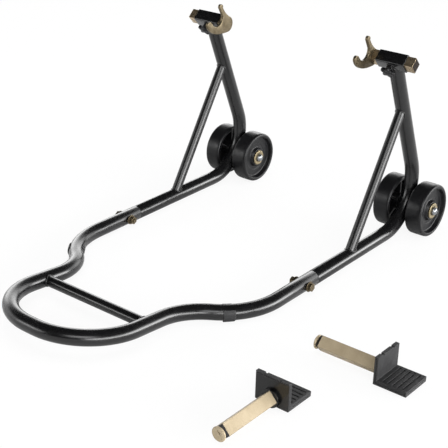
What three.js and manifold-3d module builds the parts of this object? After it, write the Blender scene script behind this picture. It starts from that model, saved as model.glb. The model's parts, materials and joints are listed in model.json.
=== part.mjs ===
// A paddock stand that lifts a motorcycle by two spools on its swingarm, and the two
// L-shaped pad adapters that take the place of its hooks.
// Millimetres, +Z up. The handle points to -Y and the wheels stand at the +Y end.
// The origin is the middle of the whole footprint, at floor level.

import * as THREE from 'three';
import { mergeVertices } from 'three/addons/utils/BufferGeometryUtils.js';
import Module from 'manifold-3d';

const wasm = await Module();
wasm.setup();

const DEG = Math.PI / 180;

// Clearances
const GAP = 0.3; // between pieces that are welded, bolted or pressed together
const BOLT_HOLE = 0.6; // how much wider a hole is than the bolt in it

// Fineness
const TUBE_SIDES = 16;
const BEND_STEP = 9 * DEG;
const WHEEL_SIDES = 32;
const SMALL_SIDES = 16;
const TURNED_SIDES = 20; // flanges and buttons, which show more of their outline
const OVERRUN = 50; // how far a cutting tool runs past what it cuts

// Tubes
const MAIN_TUBE = { od: 30, id: 26 };
const BRACE_TUBE = { od: 20.5, id: 17 };

// The stand's own frame has its Y zero at the wheel axles and its Z zero on the
// centreline of the arms' lower runs.

// Handle: a loop whose plane is hinged up about the line y = rootY, and two S-shaped necks.
// loopFront, loopRear and braceAt are distances from that line, along the tipped plane.
const HANDLE = {
  rootY: -548.5,
  tip: 5.6 * DEG,
  halfWidth: 130.5,
  loopFront: 320,
  loopRear: 80.5,
  braceAt: 170.5,
  loopBend: 121,
  frontNeckBend: 113,
  rearNeckBend: 152,
};

// Arms: a level lower run, a bend up and back, a knee, and an upright that leans forward
const ARM = {
  x: 231.7,
  seamY: -359,
  spigotLength: 60,
  bendY: -53,
  bend: 96,
  kneeY: 12.5,
  kneeZ: 82.3,
  kneeBend: 97,
  lean: 22.9 * DEG,
  braceFootY: -235.5,
  braceHeadZ: 271,
};
const SPIGOT = { od: MAIN_TUBE.id - 2 * GAP, id: 21.4 };
const SHOULDER = 4; // solid step between the spigot's bore and the arm's bore

// Bolts that hold the arms in the handle
const JOINT_BOLT = {
  y: -393, od: 8, flange: 21, flangeThick: 2, hex: 15, headHeight: 6, nutHeight: 8, stub: 2.5,
};

// Wheels
const AXLE = { z: 35.5, od: 12, bore: 12.6 };
const WHEEL = {
  radius: 57,
  halfWidth: 18.8,
  offset: 39.2, // from the arm's middle plane to the wheel's
  lipInner: 48.5,
  recessRadius: 46,
  webOuter: 8.5,
  webInner: 3,
  hubRadius: 19,
  hubInset: 4,
  bore: 21,
  ribs: 6,
  ribThick: 5,
  edge: 2,
};
const BUSH = { od: WHEEL.bore - 2 * GAP, flange: 33.5, flangeThick: 3, capSeat: 19.4, seatDepth: 4.5 };
const AXLE_CAP = { od: 17.6, rise: 4, dome: 4.5 };
const HOUSING = { od: 22, halfLength: 18.5 };

// Hook sockets: square tubes along X on top of the uprights
const SOCKET = {
  offset: -1, // beyond the arm's middle plane, outward
  y: -116,
  z: 377.2,
  turn: 43.3 * DEG,
  outside: 26.4,
  inside: 22.4,
  length: 63,
};
const BAR = { side: 21.6, innerX: 186.5, outerX: 280 };
const HOOK = {
  thick: 6,
  mouth: { y: -37, z: 18, radius: 18.3, from: 225 * DEG, to: 8 * DEG },
  upperTip: { y: -23.8, z: 40.3, radius: 5.5, from: 205 * DEG, to: -25 * DEG },
  lowerTip: { y: -62, z: 7.5, radius: 7.2, from: 204 * DEG, to: 44 * DEG },
  heel: { y: -2, z: -1, radius: 17, from: 70 * DEG, to: -90 * DEG },
  // The back and the belly curve toward these points between the tips and the heel.
  back: { y: -11, z: 24.5 },
  belly: { y: -57, z: -21 },
};

// Clamp under each socket. Heights are measured from the bar's axis.
const CLAMP = {
  screw: 8,
  screwEnd: 28.5,
  boss: 15,
  bossEnd: 20,
  knobStart: 21.5,
  knobEnd: 31.5,
  knobRadius: 12.4,
  lobeHeight: 2.4,
  lobes: 5,
};

// Rubber feet clipped on the handle's necks, in the rear neck bend, and cut off level
// with the floor. height is from the middle of the tube down to the floor.
const FOOT = { y: -573.5, length: 20.5, wall: 2, opening: 100 * DEG, soleHalf: 6, height: 16.6 };

// Pad adapters
const PAD = {
  width: 66,
  height: 52,
  reach: 63,
  steel: 4,
  coverUpright: 3,
  coverFlat: 5.5,
  lip: 3,
  notch: { at: [17.5, 49], wide: 4.5, deep: 2 },
  grooves: 5,
  grooveWidth: 3,
  grooveDepth: 2,
  grooveMargin: 4,
  post: 22, // side of the square tube
  postBore: 16,
  postLength: 124,
  postHeight: 14.7, // axis above the bracket's underside
  collar: 33.4,
  collarThick: 5,
  plugThick: 5,
  plugSide: 16, // of the plug's narrow end
  button: 26,
  buttonThick: 4.5,
  slot: { long: 6.5, wide: 2.2, turn: -23 * DEG, x: 1, z: 5 },
  lift: 2, // the collar stands this much below the bracket
};
// turn is the turn of the square post, so that the pad is level when the post is in a socket.
const PAD_PLACES = [
  { name: 'front', x: 421.0, y: -744.0, facing: 0, turn: SOCKET.turn },
  { name: 'rear', x: 510.0, y: -551.7, facing: -90 * DEG, turn: -SOCKET.turn },
];

// Materials
const finish = (color, roughness, metalness) =>
  new THREE.MeshStandardMaterial({ color, roughness, metalness });
const blackPaint = finish(0x151517, 0.28, 0.35);
const goldZinc = finish(0xa8977a, 0.45, 0.85);
const paleZinc = finish(0xcbbf9f, 0.35, 0.8);
const bareSteel = finish(0xb9bcc0, 0.3, 1);
const wheelPlastic = finish(0x202022, 0.45, 0);
const knobPlastic = finish(0x17171a, 0.5, 0);
const rubber = finish(0x2b2c2e, 0.8, 0);

// Axes as the shapes below use them: drawn in Y and Z, extruded along X
const TO_YZ = new THREE.Matrix4().makeBasis(
  new THREE.Vector3(0, 1, 0),
  new THREE.Vector3(0, 0, 1),
  new THREE.Vector3(1, 0, 0),
);

// ---- Solids -------------------------------------------------------------------------

// Turns a closed three.js geometry into a manifold solid.
function solid(geometry) {
  const bare = geometry.clone();
  bare.deleteAttribute('normal');
  bare.deleteAttribute('uv');
  const merged = mergeVertices(bare, 1e-4);
  const triangles = [];
  for (let i = 0; i < merged.index.count; i += 3) {
    const corners = [merged.index.getX(i), merged.index.getX(i + 1), merged.index.getX(i + 2)];
    if (new Set(corners).size === 3) triangles.push(...corners);
  }
  return new wasm.Manifold(new wasm.Mesh({
    numProp: 3,
    vertProperties: new Float32Array(merged.attributes.position.array),
    triVerts: new Uint32Array(triangles),
  }));
}

function geometryOf(manifold) {
  const { vertProperties, triVerts } = manifold.getMesh();
  const geometry = new THREE.BufferGeometry();
  geometry.setAttribute('position', new THREE.BufferAttribute(vertProperties, 3));
  geometry.setIndex(new THREE.BufferAttribute(triVerts, 1));
  geometry.computeVertexNormals();
  return geometry;
}

function cut(geometry, ...tools) {
  return geometryOf(tools.reduce((rest, tool) => rest.subtract(solid(tool)), solid(geometry)));
}

function join(first, ...others) {
  return geometryOf(others.reduce((sum, other) => sum.add(solid(other)), solid(first)));
}

// ---- Shapes -------------------------------------------------------------------------

function disc(diameter) {
  const shape = new THREE.Shape();
  shape.absarc(0, 0, diameter / 2, 0, 2 * Math.PI);
  return shape;
}

function ring(od, id) {
  const shape = disc(od);
  shape.holes.push(disc(id));
  return shape;
}

function square(side) {
  const half = side / 2;
  const corners = [[-half, -half], [half, -half], [half, half], [-half, half]];
  return new THREE.Shape(corners.map(([y, z]) => new THREE.Vector2(y, z)));
}

// Extrudes a shape drawn in Y and Z from one X to another.
function plate(shape, fromX, toX, curveSegments = SMALL_SIDES / 2) {
  const depth = toX - fromX;
  const geometry = new THREE.ExtrudeGeometry(shape, { depth, bevelEnabled: false, curveSegments });
  return geometry.applyMatrix4(TO_YZ).translate(fromX, 0, 0);
}

// Turns a profile of [x, radius] points about the X axis. Outer points run toward +X.
function turned(profile, sides = SMALL_SIDES) {
  const points = profile.map(([x, radius]) => new THREE.Vector2(radius, x));
  return new THREE.LatheGeometry(points, sides).rotateZ(-Math.PI / 2);
}

// A washer, bush or short tube about the X axis.
function sleeve(od, id, fromX, toX, sides = SMALL_SIDES) {
  const corners = [[fromX, id / 2], [fromX, od / 2], [toX, od / 2], [toX, id / 2], [fromX, id / 2]];
  return turned(corners, sides);
}

function rod(diameter, fromX, toX, sides = SMALL_SIDES) {
  return turned([[fromX, 0], [fromX, diameter / 2], [toX, diameter / 2], [toX, 0]], sides);
}

function hexagon(flats, fromX, toX) {
  return rod(flats / Math.cos(30 * DEG), fromX, toX, 6);
}

// A round bar between two points.
function bar(diameter, from, to) {
  const line = new BentLine([from, to], []);
  return sweep(disc(diameter), line);
}

function sweep(shape, line) {
  return new THREE.ExtrudeGeometry(shape, {
    steps: line.steps,
    extrudePath: line,
    curveSegments: TUBE_SIDES / 2,
  });
}

const heading = (from, to) => to.clone().sub(from).normalize();

// The centreline of a bent tube: straight runs between corners, each corner rounded by an
// arc. Its stations are the ends of the runs and every BEND_STEP round an arc.
class BentLine extends THREE.Curve {
  constructor(corners, bends) {
    super();
    const last = corners.length - 1;
    this.points = [corners[0]];
    this.tangents = [heading(corners[0], corners[1])];
    bends.forEach((radius, i) => this.addBend(corners[i], corners[i + 1], corners[i + 2], radius));
    this.points.push(corners[last]);
    this.tangents.push(heading(corners[last - 1], corners[last]));
    this.steps = this.points.length - 1;
  }

  addBend(before, corner, after, radius) {
    const incoming = heading(before, corner);
    const outgoing = heading(corner, after);
    const angle = incoming.angleTo(outgoing);
    const axis = incoming.clone().cross(outgoing).normalize();
    const inward = axis.clone().cross(incoming);
    const centre = corner.clone()
      .addScaledVector(incoming, -radius * Math.tan(angle / 2))
      .addScaledVector(inward, radius);
    const count = Math.ceil(angle / BEND_STEP);
    for (let i = 0; i <= count; i++) {
      const turn = (angle * i) / count;
      const spoke = inward.clone().applyAxisAngle(axis, turn);
      this.points.push(centre.clone().addScaledVector(spoke, -radius));
      this.tangents.push(incoming.clone().applyAxisAngle(axis, turn));
    }
  }

  getPointAt(u, target = new THREE.Vector3()) {
    return target.copy(this.points[Math.round(u * this.steps)]);
  }

  getTangentAt(u, target = new THREE.Vector3()) {
    return target.copy(this.tangents[Math.round(u * this.steps)]);
  }
}

// ---- Handle -------------------------------------------------------------------------

// A point on the tipped plane of the loop.
function onLoop(x, distance) {
  const y = HANDLE.rootY - distance * Math.cos(HANDLE.tip);
  return new THREE.Vector3(x, y, distance * Math.sin(HANDLE.tip));
}

function handleLine() {
  const side = (sign) => [
    new THREE.Vector3(sign * ARM.x, ARM.seamY, 0),
    new THREE.Vector3(sign * ARM.x, HANDLE.rootY, 0),
    onLoop(sign * HANDLE.halfWidth, HANDLE.loopRear),
    onLoop(sign * HANDLE.halfWidth, HANDLE.loopFront),
  ];
  const bends = [HANDLE.rearNeckBend, HANDLE.frontNeckBend, HANDLE.loopBend];
  return new BentLine([...side(1), ...side(-1).reverse()], [...bends, ...bends.toReversed()]);
}

function handleLoop() {
  const hole = JOINT_BOLT.od + BOLT_HOLE;
  const reach = ARM.x + MAIN_TUBE.od;
  const boltHole = rod(hole, -reach, reach).translate(0, JOINT_BOLT.y, 0);
  return cut(sweep(ring(MAIN_TUBE.od, MAIN_TUBE.id), handleLine()), boltHole);
}

function handleBrace() {
  const span = HANDLE.halfWidth;
  const tube = plate(ring(BRACE_TUBE.od, BRACE_TUBE.id), -span, span)
    .translate(0, onLoop(0, HANDLE.braceAt).y, onLoop(0, HANDLE.braceAt).z);
  const sides = [-span, span].map((x) =>
    bar(MAIN_TUBE.od + 2 * GAP, onLoop(x, HANDLE.braceAt - OVERRUN), onLoop(x, HANDLE.braceAt + OVERRUN)));
  return cut(tube, ...sides);
}

// C-shaped clip, drawn across the tube: open at the top, with a flat sole below
function footProfile() {
  const inner = MAIN_TUBE.id / 2;
  const outer = MAIN_TUBE.od / 2 + FOOT.wall;
  const lip = Math.PI / 2 + FOOT.opening / 2;
  const soleZ = -FOOT.height - 2;
  const soleAngle = Math.acos(FOOT.soleHalf / outer);
  const shape = new THREE.Shape();
  shape.absarc(0, 0, outer, lip, Math.PI + soleAngle);
  shape.lineTo(-FOOT.soleHalf, soleZ);
  shape.lineTo(FOOT.soleHalf, soleZ);
  shape.absarc(0, 0, outer, -soleAngle, Math.PI - lip);
  shape.absarc(0, 0, inner, Math.PI - lip, lip - 2 * Math.PI, true);
  return shape;
}

// The place on the right neck's centreline where a foot sits, and the way the neck runs
function footPlace() {
  const { points } = handleLine();
  const after = points.findIndex((point) => point.y < FOOT.y);
  const share = (FOOT.y - points[after].y) / (points[after - 1].y - points[after].y);
  return {
    point: points[after].clone().lerp(points[after - 1], share),
    along: heading(points[after], points[after - 1]),
  };
}

// The floor slopes a little in the stand's own frame, because the stand rests on its
// wheels and on the soles of its feet.
const WHEEL_FLAT = WHEEL.radius * Math.cos(Math.PI / WHEEL_SIDES);
const SOLE_Z = footPlace().point.z - FOOT.height;
const REST_TILT = Math.atan2(SOLE_Z - (AXLE.z - WHEEL_FLAT), -FOOT.y);

function rubberFoot(sign) {
  const { point, along } = footPlace();
  const clip = plate(footProfile(), -FOOT.length / 2, FOOT.length / 2)
    .rotateZ(Math.atan2(along.y, sign * along.x))
    .translate(sign * point.x, point.y, point.z);
  const neckTube = sweep(disc(MAIN_TUBE.od + 2 * GAP), handleLine());
  const below = new THREE.BoxGeometry(2 * point.x + 2 * OVERRUN, 2 * OVERRUN, OVERRUN)
    .translate(0, FOOT.y, -WHEEL_FLAT - OVERRUN / 2)
    .rotateX(-REST_TILT)
    .translate(0, 0, AXLE.z);
  return cut(clip, neckTube, below);
}

// ---- Arms ---------------------------------------------------------------------------
// Pieces of an arm are built in its own plane, x = 0.

const inPlane = (y, z) => new THREE.Vector3(0, y, z);
const KNEE = inPlane(ARM.kneeY, ARM.kneeZ);

function onUpright(z) {
  return inPlane(ARM.kneeY - (z - ARM.kneeZ) * Math.tan(ARM.lean), z);
}

function armLine(fromY) {
  const corners = [inPlane(fromY, 0), inPlane(ARM.bendY, 0), KNEE, onUpright(SOCKET.z)];
  return new BentLine(corners, [ARM.bend, ARM.kneeBend]);
}

// A round bar along Y through the arm's lower centreline.
function alongRun(diameter, fromY, toY) {
  return bar(diameter, inPlane(fromY, 0), inPlane(toY, 0));
}

// Moves a piece from the socket's own frame into the arm's.
function onSocket(geometry, sign) {
  return geometry.rotateX(SOCKET.turn).translate(sign * SOCKET.offset, SOCKET.y, SOCKET.z);
}

function arm(sign) {
  const front = ARM.seamY - ARM.spigotLength;
  const outside = join(
    sweep(disc(MAIN_TUBE.od), armLine(ARM.seamY + GAP)),
    alongRun(SPIGOT.od, front, ARM.seamY + SHOULDER),
  );
  const bolt = JOINT_BOLT.od + BOLT_HOLE;
  return cut(
    outside,
    sweep(disc(MAIN_TUBE.id), armLine(ARM.seamY + SHOULDER)),
    alongRun(SPIGOT.id, front - 1, ARM.seamY + 2 * SHOULDER),
    rod(bolt, -MAIN_TUBE.od, MAIN_TUBE.od).translate(0, JOINT_BOLT.y, 0),
    rod(HOUSING.od + 2 * GAP, -MAIN_TUBE.od, MAIN_TUBE.od).translate(0, 0, AXLE.z),
    onSocket(plate(square(SOCKET.outside + 2 * GAP), -SOCKET.length, SOCKET.length), sign),
    onSocket(clampRod(CLAMP.boss + 2 * GAP, 0, CLAMP.bossEnd + GAP), sign),
  );
}

function armBrace() {
  const foot = inPlane(ARM.braceFootY, 0);
  const head = onUpright(ARM.braceHeadZ);
  const clear = MAIN_TUBE.od + 2 * GAP;
  return cut(
    sweep(ring(BRACE_TUBE.od, BRACE_TUBE.id), new BentLine([foot, head], [])),
    alongRun(clear, ARM.braceFootY - OVERRUN, ARM.braceFootY + OVERRUN),
    bar(clear, onUpright(ARM.braceHeadZ - OVERRUN), onUpright(ARM.braceHeadZ + OVERRUN)),
  );
}

// The bolt head is on the -X side and the nut on the +X side.
function jointBolt() {
  const seat = MAIN_TUBE.od / 2 + GAP;
  const { od, flange, flangeThick, hex, headHeight, nutHeight, stub } = JOINT_BOLT;
  const shankEnd = seat + flangeThick + nutHeight + stub;
  return join(
    rod(od, -seat - flangeThick - 1, shankEnd),
    rod(flange, -seat - flangeThick, -seat),
    hexagon(hex, -seat - flangeThick - headHeight, -seat - flangeThick + 1),
  );
}

function jointNut() {
  const seat = MAIN_TUBE.od / 2 + GAP;
  const { od, flange, flangeThick, hex, nutHeight } = JOINT_BOLT;
  const body = join(
    rod(flange, seat, seat + flangeThick),
    hexagon(hex, seat + flangeThick - 1, seat + flangeThick + nutHeight),
  );
  return cut(body, rod(od + BOLT_HOLE, seat - 1, seat + flangeThick + nutHeight + 1));
}

// ---- Wheels -------------------------------------------------------------------------
// A wheel is built about the X axis with its outer face toward +X.

const HUB_FACE = WHEEL.halfWidth - WHEEL.hubInset;
const HUB_BACK = -WHEEL.halfWidth + 1;

function wheel() {
  const { radius, halfWidth, lipInner, recessRadius, webOuter, webInner, hubRadius, edge } = WHEEL;
  const bore = WHEEL.bore / 2;
  const body = turned([
    [HUB_BACK, bore],
    [HUB_BACK, hubRadius],
    [webInner, hubRadius],
    [webInner, recessRadius],
    [-halfWidth, lipInner],
    [-halfWidth, radius - edge],
    [-halfWidth + edge, radius],
    [halfWidth - edge, radius],
    [halfWidth, radius - edge],
    [halfWidth, lipInner],
    [webOuter, recessRadius],
    [webOuter, hubRadius],
    [HUB_FACE, hubRadius],
    [HUB_FACE, bore],
    [HUB_BACK, bore],
  ], WHEEL_SIDES).rotateX(Math.PI / WHEEL_SIDES);
  const rib = new THREE.BoxGeometry(halfWidth, WHEEL.ribThick, lipInner - hubRadius + 1)
    .translate(webInner + 1 - halfWidth / 2, 0, (lipInner + hubRadius) / 2);
  const ribs = Array.from({ length: WHEEL.ribs }, (_, i) =>
    rib.clone().rotateX((i * 2 * Math.PI) / WHEEL.ribs));
  return join(body, ...ribs);
}

function wheelBush() {
  const face = HUB_FACE + GAP + BUSH.flangeThick;
  const seat = face - BUSH.seatDepth;
  return turned([
    [HUB_BACK + 1, AXLE.bore / 2],
    [HUB_BACK + 1, BUSH.od / 2],
    [HUB_FACE + GAP, BUSH.od / 2],
    [HUB_FACE + GAP, BUSH.flange / 2],
    [face, BUSH.flange / 2],
    [face, BUSH.capSeat / 2],
    [seat, BUSH.capSeat / 2],
    [seat, AXLE.bore / 2],
    [HUB_BACK + 1, AXLE.bore / 2],
  ], TURNED_SIDES);
}

const CAP_SEAT = HUB_FACE + BUSH.flangeThick - BUSH.seatDepth + 2 * GAP;
const CAP_SHOULDER = HUB_FACE + BUSH.flangeThick + AXLE_CAP.rise;
const AXLE_END = WHEEL.offset + CAP_SHOULDER - 1;

// Domed nut that closes the end of an axle bolt
function axleCap() {
  const radius = AXLE_CAP.od / 2;
  const dome = [0, 30, 60].map((rise) =>
    [CAP_SHOULDER + AXLE_CAP.dome * Math.sin(rise * DEG), radius * Math.cos(rise * DEG)]);
  return turned([
    [AXLE_END - WHEEL.offset + GAP, 0],
    [AXLE_END - WHEEL.offset + GAP, AXLE.bore / 2],
    [CAP_SEAT, AXLE.bore / 2],
    [CAP_SEAT, radius],
    ...dome,
    [CAP_SHOULDER + AXLE_CAP.dome, 0],
  ]);
}

// ---- Hooks --------------------------------------------------------------------------

function socket() {
  const shape = square(SOCKET.outside);
  shape.holes.push(square(SOCKET.inside));
  const half = SOCKET.length / 2;
  return cut(plate(shape, -half, half), clampRod(CLAMP.screw + BOLT_HOLE, 0, CLAMP.bossEnd));
}

// A round bar about the clamp's axis, which is -Y in the socket's frame.
function clampRod(diameter, from, to) {
  return rod(diameter, from, to).rotateZ(-Math.PI / 2);
}

function clampBoss() {
  const start = SOCKET.outside / 2 + GAP;
  return sleeve(CLAMP.boss, CLAMP.screw + BOLT_HOLE, start, CLAMP.bossEnd).rotateZ(-Math.PI / 2);
}

function clampKnob() {
  const shape = new THREE.Shape();
  const steps = 6 * CLAMP.lobes;
  for (let i = 0; i < steps; i++) {
    const angle = (i * 2 * Math.PI) / steps;
    const radius = CLAMP.knobRadius + CLAMP.lobeHeight * Math.cos(CLAMP.lobes * angle);
    const point = [radius * Math.cos(angle), radius * Math.sin(angle)];
    if (i === 0) shape.moveTo(...point);
    else shape.lineTo(...point);
  }
  const body = plate(shape, CLAMP.knobStart, CLAMP.knobEnd).rotateZ(-Math.PI / 2);
  return cut(body, clampRod(CLAMP.screw + BOLT_HOLE, 0, CLAMP.screwEnd + GAP));
}

// A flat J: a mouth for the spool, a blunt tip on each side of it, and a heel on the bar
function hookPlate() {
  const { mouth, upperTip, lowerTip, heel, back, belly } = HOOK;
  const shape = new THREE.Shape();
  const arc = ({ y, z, radius, from, to }, clockwise) =>
    shape.absarc(y, z, radius, from, to, clockwise);
  arc(mouth, false);
  arc(upperTip, true);
  const curve = (toward, { y, z, radius, from }) =>
    shape.quadraticCurveTo(toward.y, toward.z, y + radius * Math.cos(from), z + radius * Math.sin(from));
  curve(back, heel);
  arc(heel, true);
  curve(belly, lowerTip);
  arc(lowerTip, true);
  return shape;
}

// ---- Pad adapters -------------------------------------------------------------------
// An adapter is built with its post along -Y, its width along X and its plate at y = 0.

function outlineInYZ(corners) {
  return new THREE.Shape(corners.map(([y, z]) => new THREE.Vector2(y, z)));
}

function padBracket() {
  const { width, height, reach, steel } = PAD;
  const top = height - PAD.lip - GAP;
  const shape = outlineInYZ([[0, 0], [reach, 0], [reach, steel], [steel, steel], [steel, top], [0, top]]);
  return plate(shape, -width / 2, width / 2);
}

// The cover lies on the flat leg, lines the upright leg and laps over its top edge.
function padCover() {
  const { width, height, reach, steel, lip, notch } = PAD;
  const bottom = steel + GAP;
  const tread = bottom + PAD.coverFlat;
  const wall = steel + GAP + PAD.coverUpright;
  const body = plate(outlineInYZ([
    [steel + GAP, bottom], [reach, bottom], [reach, tread], [wall, tread], [wall, height],
    [0, height], [0, height - lip], [steel + GAP, height - lip],
  ]), -width / 2, width / 2);
  const notches = notch.at.map((x) =>
    new THREE.BoxGeometry(notch.wide, 3 * wall, 2 * notch.deep).translate(x - width / 2, 0, height));
  const pitch = (reach - wall) / (PAD.grooves + 1);
  const grooves = Array.from({ length: PAD.grooves }, (_, i) =>
    new THREE.BoxGeometry(width - 2 * PAD.grooveMargin, PAD.grooveWidth, 2 * PAD.grooveDepth)
      .translate(0, wall + (i + 1) * pitch, tread));
  return cut(body, ...notches, ...grooves);
}

// Pieces of the post lie along -Y, so their X becomes the distance from the plate.
const ontoPost = (geometry) => geometry.rotateZ(-Math.PI / 2).translate(0, 0, PAD.postHeight);

const POST_START = GAP;
const POST_END = POST_START + PAD.postLength;
const PLUG_END = POST_END + GAP + PAD.plugThick;

function padPost(turn) {
  const body = plate(square(PAD.post), POST_START, POST_END).rotateX(turn);
  return ontoPost(cut(body, rod(PAD.postBore, POST_START - OVERRUN, POST_END + OVERRUN)));
}

function padCollar(turn) {
  const end = POST_START + PAD.collarThick;
  const hole = plate(square(PAD.post + 2 * GAP), POST_START - OVERRUN, end + OVERRUN).rotateX(turn);
  return ontoPost(cut(rod(PAD.collar, POST_START, end), hole));
}

// Square plug that narrows from the end of the post to the button
function padPlug(turn) {
  const start = POST_END + GAP;
  const corner = (side) => side * Math.SQRT1_2;
  const body = turned([
    [start, 0],
    [start, corner(PAD.post)],
    [start + 1.5, corner(PAD.post)],
    [PLUG_END, corner(PAD.plugSide)],
    [PLUG_END, 0],
  ], 4).rotateX(Math.PI / 4 + turn);
  return ontoPost(cut(body, rod(PAD.postBore - 4, start - OVERRUN, PLUG_END + OVERRUN)));
}

// End button: a slotted disc on a stem that runs through the plug
function padButton() {
  const start = PLUG_END + GAP;
  const face = start + PAD.buttonThick;
  const stem = PAD.postBore / 2 - 2 - GAP;
  const body = turned([
    [POST_END - 12, 0],
    [POST_END - 12, stem],
    [start, stem],
    [start, PAD.button / 2 - 1],
    [start + 1, PAD.button / 2],
    [face - 1.5, PAD.button / 2],
    [face, PAD.button / 2 - 2],
    [face, 0],
  ], TURNED_SIDES);
  const { long, wide, turn, x, z } = PAD.slot;
  const slot = new THREE.BoxGeometry(3, long, wide).rotateX(turn).translate(face, x, z);
  return ontoPost(cut(body, slot));
}

// ---- Assembly -----------------------------------------------------------------------

function add(group, name, geometry, material) {
  const mesh = new THREE.Mesh(geometry, material.clone());
  mesh.name = name;
  group.add(mesh);
  return mesh;
}

function groupAt(parent, x, y, z) {
  const group = new THREE.Group();
  group.position.set(x, y, z);
  parent.add(group);
  return group;
}

function addWheel(armGroup, side, place, sign) {
  const group = groupAt(armGroup, sign * WHEEL.offset, 0, AXLE.z);
  group.rotation.z = sign > 0 ? 0 : Math.PI;
  add(group, `${side}_${place}_wheel`, wheel(), wheelPlastic);
  add(group, `${side}_${place}_wheel_bush`, wheelBush(), goldZinc);
  add(group, `${side}_${place}_axle_cap`, axleCap(), bareSteel);
  const gapStart = HOUSING.halfLength + GAP - WHEEL.offset;
  const washer = sleeve(HOUSING.od, AXLE.bore, gapStart, HUB_BACK - GAP);
  add(group, `${side}_${place}_axle_washer`, washer, bareSteel);
}

function addHook(stand, side, sign) {
  const tilted = groupAt(stand, sign * (ARM.x + SOCKET.offset), SOCKET.y, SOCKET.z);
  tilted.rotation.x = SOCKET.turn;
  add(tilted, `${side}_hook_socket`, socket(), blackPaint);
  add(tilted, `${side}_clamp_boss`, clampBoss(), blackPaint);
  const screw = clampRod(CLAMP.screw, BAR.side / 2 + GAP, CLAMP.screwEnd);
  add(tilted, `${side}_clamp_screw`, screw, bareSteel);
  add(tilted, `${side}_clamp_knob`, clampKnob(), knobPlastic);

  const onAxis = groupAt(stand, 0, SOCKET.y, SOCKET.z);
  const barEnds = [sign * (BAR.innerX + GAP), sign * BAR.outerX].sort((a, b) => a - b);
  const hookBar = plate(square(BAR.side), ...barEnds).rotateX(SOCKET.turn);
  add(onAxis, `${side}_hook_bar`, hookBar, goldZinc);
  const faces = [sign * BAR.innerX, sign * (BAR.innerX - HOOK.thick)].sort((a, b) => a - b);
  add(onAxis, `${side}_hook`, plate(hookPlate(), ...faces), goldZinc);
}

function addArm(stand, side, sign) {
  const group = groupAt(stand, sign * ARM.x, 0, 0);
  add(group, `${side}_arm`, arm(sign), blackPaint);
  add(group, `${side}_arm_brace`, armBrace(), blackPaint);
  const { halfLength, od } = HOUSING;
  const housing = sleeve(od, AXLE.bore, -halfLength, halfLength).translate(0, 0, AXLE.z);
  add(group, `${side}_axle_housing`, housing, blackPaint);
  const bolt = rod(AXLE.od, -AXLE_END, AXLE_END).translate(0, 0, AXLE.z);
  add(group, `${side}_axle_bolt`, bolt, bareSteel);
  addWheel(group, side, 'outer', sign);
  addWheel(group, side, 'inner', -sign);

  const fasteners = groupAt(group, 0, JOINT_BOLT.y, 0);
  fasteners.rotation.z = sign > 0 ? Math.PI : 0;
  add(fasteners, `${side}_joint_bolt`, jointBolt(), goldZinc);
  add(fasteners, `${side}_joint_nut`, jointNut(), goldZinc);
  addHook(stand, side, sign);
  add(stand, `${side}_rubber_foot`, rubberFoot(sign), rubber);
}

function addAdapter(parent, { name, x, y, facing, turn }) {
  const group = groupAt(parent, x, y, PAD.lift);
  group.rotation.z = facing;
  add(group, `${name}_pad_bracket`, padBracket(), blackPaint);
  add(group, `${name}_pad_cover`, padCover(), rubber);
  add(group, `${name}_pad_post`, padPost(turn), paleZinc);
  add(group, `${name}_pad_collar`, padCollar(turn), blackPaint);
  add(group, `${name}_pad_plug`, padPlug(turn), knobPlastic);
  add(group, `${name}_pad_button`, padButton(), paleZinc);
}

const footprint = new THREE.Group();

// Tipping the stand about its axles puts the wheels and both soles on the floor.
const tipped = groupAt(footprint, 0, 0, WHEEL_FLAT);
tipped.rotation.x = REST_TILT;
const stand = groupAt(tipped, 0, 0, -AXLE.z);
add(stand, 'handle_loop', handleLoop(), blackPaint);
add(stand, 'handle_brace', handleBrace(), blackPaint);
addArm(stand, 'left', -1);
addArm(stand, 'right', 1);
PAD_PLACES.forEach((place) => addAdapter(footprint, place));

// Centre the footprint on the origin.
const bounds = new THREE.Box3().setFromObject(footprint, true);
const middle = bounds.getCenter(new THREE.Vector3());
footprint.position.set(-middle.x, -middle.y, -bounds.min.z);

const paddockStand = new THREE.Group();
paddockStand.add(footprint);

export default paddockStand;
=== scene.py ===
"""The visible paddock stand and its two pad adapters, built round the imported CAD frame."""

import json
import math

import bmesh
import bpy
from mathutils import Matrix, Quaternion, Vector


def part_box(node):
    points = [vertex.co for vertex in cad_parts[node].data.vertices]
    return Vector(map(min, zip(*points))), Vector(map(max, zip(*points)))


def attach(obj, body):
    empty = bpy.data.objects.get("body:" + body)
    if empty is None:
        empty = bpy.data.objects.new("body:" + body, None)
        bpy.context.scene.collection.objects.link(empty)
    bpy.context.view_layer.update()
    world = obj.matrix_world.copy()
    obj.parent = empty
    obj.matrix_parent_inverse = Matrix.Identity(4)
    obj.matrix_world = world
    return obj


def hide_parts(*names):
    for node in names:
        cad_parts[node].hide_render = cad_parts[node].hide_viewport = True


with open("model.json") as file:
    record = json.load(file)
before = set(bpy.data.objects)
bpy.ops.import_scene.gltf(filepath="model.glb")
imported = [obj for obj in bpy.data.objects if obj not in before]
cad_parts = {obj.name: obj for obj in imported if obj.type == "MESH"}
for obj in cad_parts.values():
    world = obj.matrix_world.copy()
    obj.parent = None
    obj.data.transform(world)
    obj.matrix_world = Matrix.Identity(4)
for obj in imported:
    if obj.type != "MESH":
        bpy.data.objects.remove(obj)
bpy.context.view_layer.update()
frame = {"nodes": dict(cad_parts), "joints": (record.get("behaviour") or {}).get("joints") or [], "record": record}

MM = 0.001
X_AXIS, Y_AXIS, Z_AXIS = Vector((1, 0, 0)), Vector((0, 1, 0)), Vector((0, 0, 1))
SIDES = (("left", -1), ("right", 1))
PLACES = (("outer", 1), ("inner", -1))

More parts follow.
